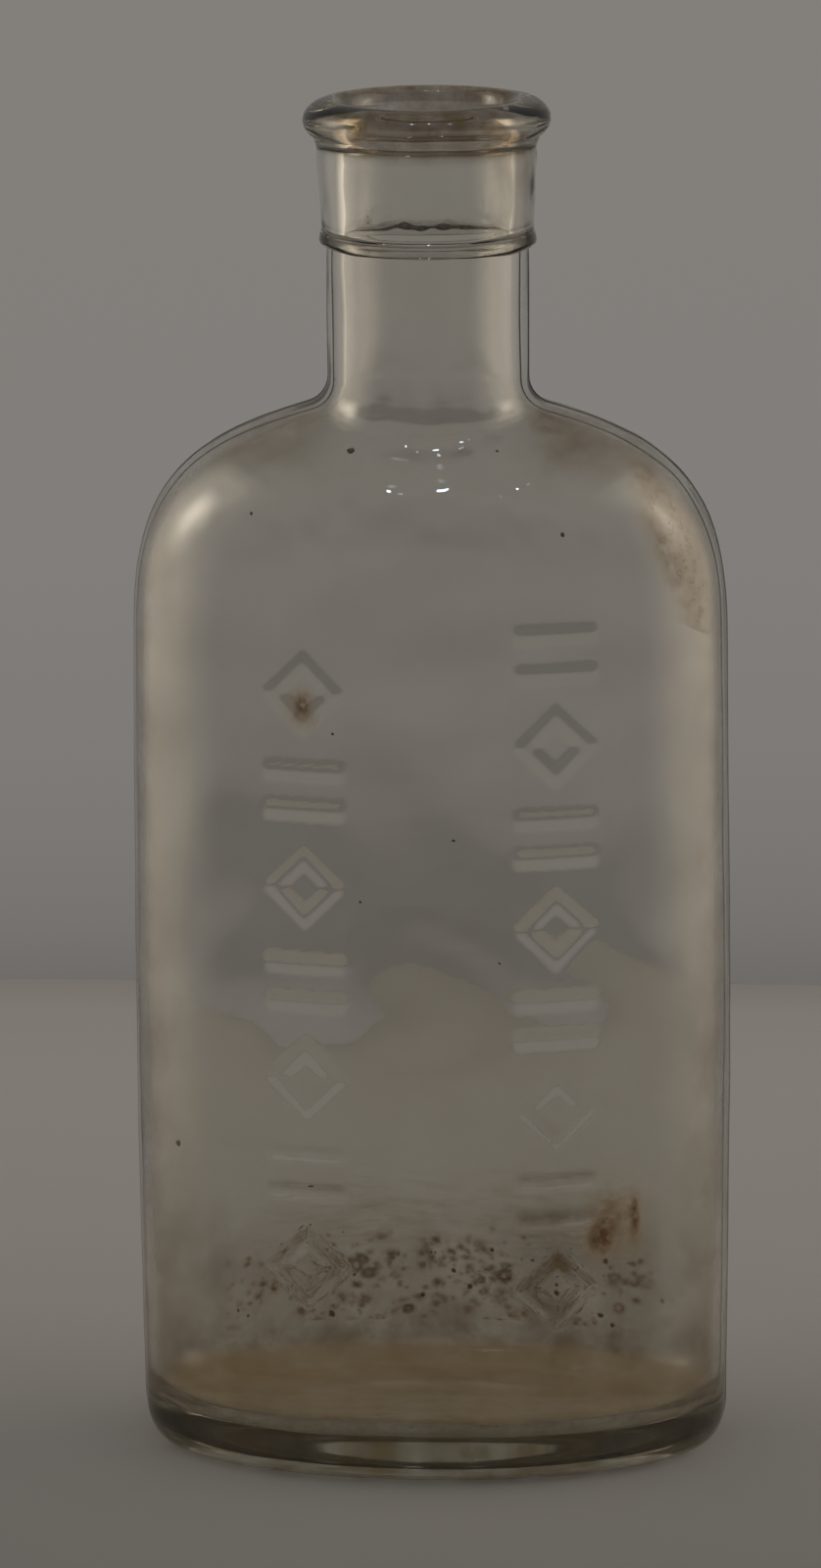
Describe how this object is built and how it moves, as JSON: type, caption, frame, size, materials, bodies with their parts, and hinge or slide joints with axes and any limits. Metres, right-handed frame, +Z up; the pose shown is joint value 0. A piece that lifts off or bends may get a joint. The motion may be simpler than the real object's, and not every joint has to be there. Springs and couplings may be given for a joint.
{
  "type": "flat-oval medicine bottle",
  "caption": "Clear glass flat-oval medicine bottle with round shoulders, a cork-mouth neck and a hand-applied collar and lip, with raised marks and dried residue inside",
  "frame": {"origin": "middle of the base, on the surface that the bottle stands on", "axes": "+Z up along the neck, +X along the wide way across, -Y towards the front face that has the raised marks"},
  "size_m": [0.0644, 0.037, 0.1485],
  "materials": {
    "blown_glass": "smooth mould-blown soda-lime glass, faint olive-grey tint",
    "applied_glass": "fire-polished applied glass, faint olive-grey tint",
    "sediment": "dried fine sediment, matt brown",
    "dried_scale": "dried scale and film, matt brown",
    "rust": "rust-brown stain, matt"
  },
  "bodies": {
    "root": {"bottle_body": "blown_glass", "applied_finish": "applied_glass", "floor_residue": "sediment", "wall_scale": "dried_scale", "shoulder_film": "dried_scale", "rust_stain_upper": "rust", "rust_stain_lower": "rust"}
  },
  "joints": []
}
